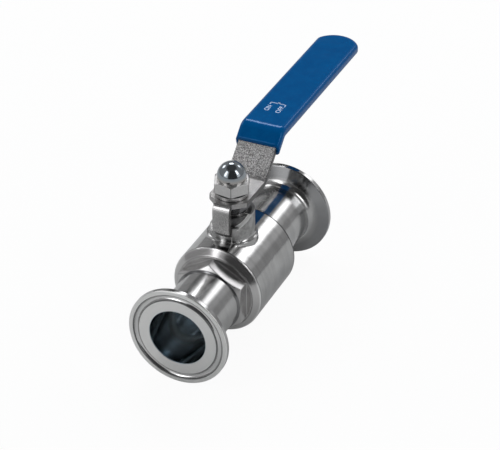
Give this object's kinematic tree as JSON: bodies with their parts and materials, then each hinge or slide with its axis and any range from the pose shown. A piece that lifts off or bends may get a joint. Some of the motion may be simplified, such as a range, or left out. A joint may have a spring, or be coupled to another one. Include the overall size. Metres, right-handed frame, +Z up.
{
  "type": "sanitary ball valve",
  "caption": "Sanitary ball valve with clamp ferrules at both ends and a bent quarter-turn lever in a blue dipped sleeve.",
  "frame": {"origin": "centre of the inlet clamp face, on the flow axis", "axes": "+X along the flow towards the outlet, +Z up along the stem, +Y to the left when looking along the flow"},
  "size_m": [0.1988, 0.0506, 0.0881],
  "materials": {
    "polished_steel": "polished stainless steel",
    "machined_steel": "turned and polished stainless steel",
    "blasted_steel": "blasted stainless plate, rough and dull",
    "fastener_steel": "bright stainless fasteners",
    "sleeve_vinyl": "dipped blue vinyl, soft gloss",
    "seat_plastic": "white fluoropolymer",
    "seal_rubber": "black rubber"
  },
  "bodies": {
    "housing": {"body": "machined_steel", "end_cap": "machined_steel", "inlet_ferrule": "polished_steel", "outlet_ferrule": "polished_steel", "inlet_seat": "seat_plastic", "outlet_seat": "seat_plastic", "body_gasket": "seat_plastic", "thrust_washer": "seat_plastic", "packing_base_ring": "seat_plastic", "lower_vee_ring": "seat_plastic", "upper_vee_ring": "seat_plastic", "packing_top_ring": "seat_plastic", "gland_ring": "fastener_steel"},
    "lever_group": {"stem": "fastener_steel", "stem_o_ring": "seal_rubber", "cupped_spring_washers": "fastener_steel", "packing_nut": "fastener_steel", "lever": "blasted_steel", "lever_sleeve": "sleeve_vinyl", "split_spring_washer": "fastener_steel", "cap_nut": "fastener_steel"},
    "ball_group": {"ball": "polished_steel"}
  },
  "joints": [
    {"name": "lever_turn", "type": "hinge", "parent": "housing", "child": "lever_group", "pos_m": [0.061, 0, 0.045], "axis": [0, 0, -1], "range_deg": [0, 90]},
    {"name": "ball_turn", "type": "hinge", "parent": "housing", "child": "ball_group", "pos_m": [0.061, 0, 0], "axis": [0, 0, -1], "range_deg": [0, 90]}
  ],
  "couplings": [
    {"joint": "ball_turn", "follows": "lever_turn", "ratio": 1}
  ]
}
